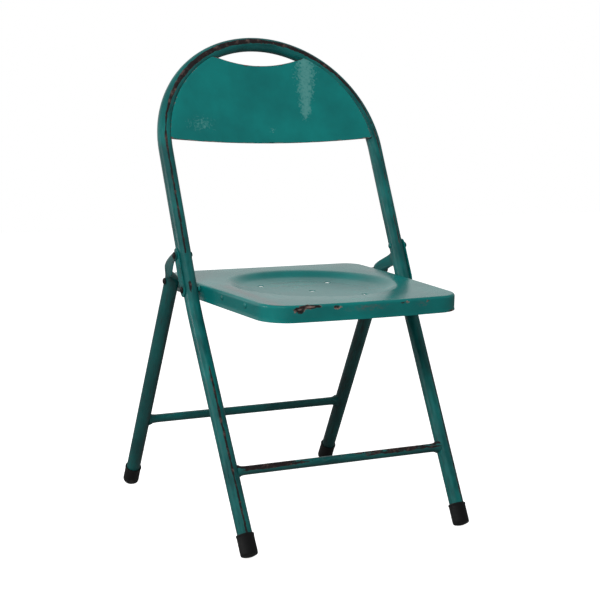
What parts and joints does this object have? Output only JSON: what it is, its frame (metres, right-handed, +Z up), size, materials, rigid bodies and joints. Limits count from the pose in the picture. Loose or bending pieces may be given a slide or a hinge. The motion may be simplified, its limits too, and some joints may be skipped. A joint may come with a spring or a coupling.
{
  "type": "folding chair",
  "caption": "Folding steel chair in worn green paint: a bent tube makes the front legs and back hoop, with a dished pressed seat and rear legs that swing shut.",
  "frame": {"origin": "on the floor, at the middle of the chair's width and depth", "axes": "+Z up, the sitter faces -Y, -X is the left side as seen from the front"},
  "size_m": [0.4352, 0.5533, 0.8],
  "materials": {
    "green_paint": "satin enamel, chipped and worn to dark rust on edges",
    "worn_steel": "dull, darkened and lightly rusted",
    "black_rubber": "matte, scuffed"
  },
  "bodies": {
    "front_frame": {"front_frame_tube": "green_paint", "back_panel": "green_paint", "front_stretcher": "green_paint", "front_foot_left": "black_rubber", "front_foot_right": "black_rubber", "pivot_plate_left": "green_paint", "pivot_plate_right": "green_paint", "leg_pivot_bolt_left": "worn_steel", "leg_pivot_bolt_right": "worn_steel", "leg_pivot_nut_left": "worn_steel", "leg_pivot_nut_right": "worn_steel", "seat_pivot_bolt_left": "worn_steel", "seat_pivot_bolt_right": "worn_steel", "seat_pivot_spacer_left": "worn_steel", "seat_pivot_spacer_right": "worn_steel", "seat_pivot_nut_left": "worn_steel", "seat_pivot_nut_right": "worn_steel"},
    "seat": {"seat_pan": "green_paint", "seat_rail_left": "green_paint", "seat_rail_right": "green_paint", "seat_rivet_left_1": "green_paint", "seat_rivet_left_2": "green_paint", "seat_rivet_right_1": "green_paint", "seat_rivet_right_2": "green_paint"},
    "rear_legs": {"rear_leg_left": "green_paint", "rear_leg_right": "green_paint", "rear_stretcher": "green_paint", "rear_foot_left": "black_rubber", "rear_foot_right": "black_rubber", "seat_stud_left": "worn_steel", "seat_stud_right": "worn_steel", "seat_stud_nut_left": "worn_steel", "seat_stud_nut_right": "worn_steel"}
  },
  "joints": [
    {"name": "rear_leg_fold", "type": "hinge", "parent": "front_frame", "child": "rear_legs", "pos_m": [0, -0.00741, 0.441], "axis": [-1, 0, 0], "range_deg": [0, 53]},
    {"name": "seat_fold", "type": "hinge", "parent": "front_frame", "child": "seat", "pos_m": [0, -0.0319, 0.3875], "axis": [-1, 0, 0], "range_deg": [0, 117]}
  ],
  "couplings": [
    {"joint": "seat_fold", "follows": "rear_leg_fold", "ratio": 2.2075}
  ]
}
